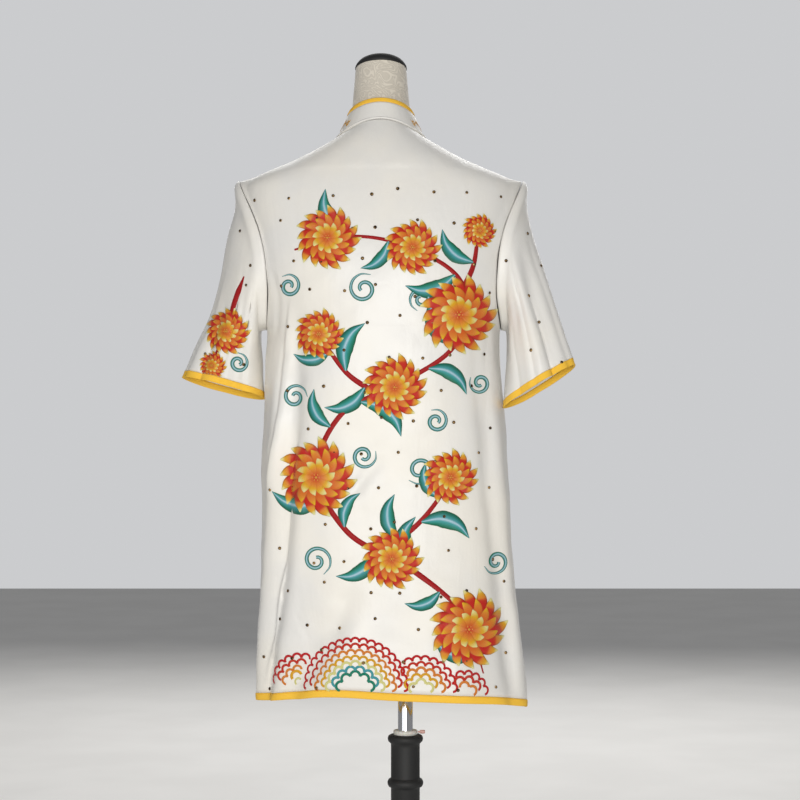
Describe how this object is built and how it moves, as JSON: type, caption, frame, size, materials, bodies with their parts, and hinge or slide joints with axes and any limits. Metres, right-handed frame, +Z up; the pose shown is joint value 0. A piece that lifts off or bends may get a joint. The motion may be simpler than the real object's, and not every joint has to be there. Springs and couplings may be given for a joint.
{
  "type": "wushu uniform on a dress form",
  "caption": "Short-sleeved satin wushu uniform top with a stand collar, gold bindings and frog fastenings, worn by a limbless dress form on a turned stand of adjustable height.",
  "frame": {"origin": "middle of the stand base's underside, on the pole's axis", "axes": "+Z up; the wearer's back faces -Y, the wearer's right side is at +X"},
  "size_m": [0.5823, 0.37, 1.5199],
  "materials": {
    "satin": "glossy ivory satin",
    "gold_satin": "glossy gold satin",
    "gold_braid": "gold braid",
    "cover_cloth": "ivory damask",
    "black_lacquer": "black gloss lacquer",
    "chrome": "polished",
    "nylon": "satin"
  },
  "bodies": {
    "stand": {"stand_base": "black_lacquer", "stand_column": "black_lacquer", "stand_bush": "nylon", "stand_set_screw": "nylon"},
    "mast": {"stand_pole": "chrome"},
    "figure": {"back": "satin", "front_left": "satin", "front_right": "satin", "sleeve_left": "satin", "sleeve_right": "satin", "collar": "satin", "collar_binding": "gold_satin", "cuff_binding_left": "gold_satin", "cuff_binding_right": "gold_satin", "hem_binding_back": "gold_satin", "hem_binding_front_left": "gold_satin", "hem_binding_front_right": "gold_satin", "frog_left_1": "gold_braid", "frog_right_1": "gold_braid", "frog_knot_1": "gold_braid", "frog_left_2": "gold_braid", "frog_right_2": "gold_braid", "frog_knot_2": "gold_braid", "frog_left_3": "gold_braid", "frog_right_3": "gold_braid", "frog_knot_3": "gold_braid", "frog_left_4": "gold_braid", "frog_right_4": "gold_braid", "frog_knot_4": "gold_braid", "frog_left_5": "gold_braid", "frog_right_5": "gold_braid", "frog_knot_5": "gold_braid", "frog_left_6": "gold_braid", "frog_right_6": "gold_braid", "frog_knot_6": "gold_braid", "frog_left_7": "gold_braid", "frog_right_7": "gold_braid", "frog_knot_7": "gold_braid", "form_torso": "cover_cloth", "form_cap": "black_lacquer"}
  },
  "joints": [
    {"name": "height_slide", "type": "slide", "parent": "stand", "child": "mast", "axis": [0, 0, 1], "range_m": [-0.12, 0.2]},
    {"name": "form_turn", "type": "hinge", "parent": "mast", "child": "figure", "pos_m": [0, 0, 0.64], "axis": [0, 0, 1], "continuous": true}
  ]
}
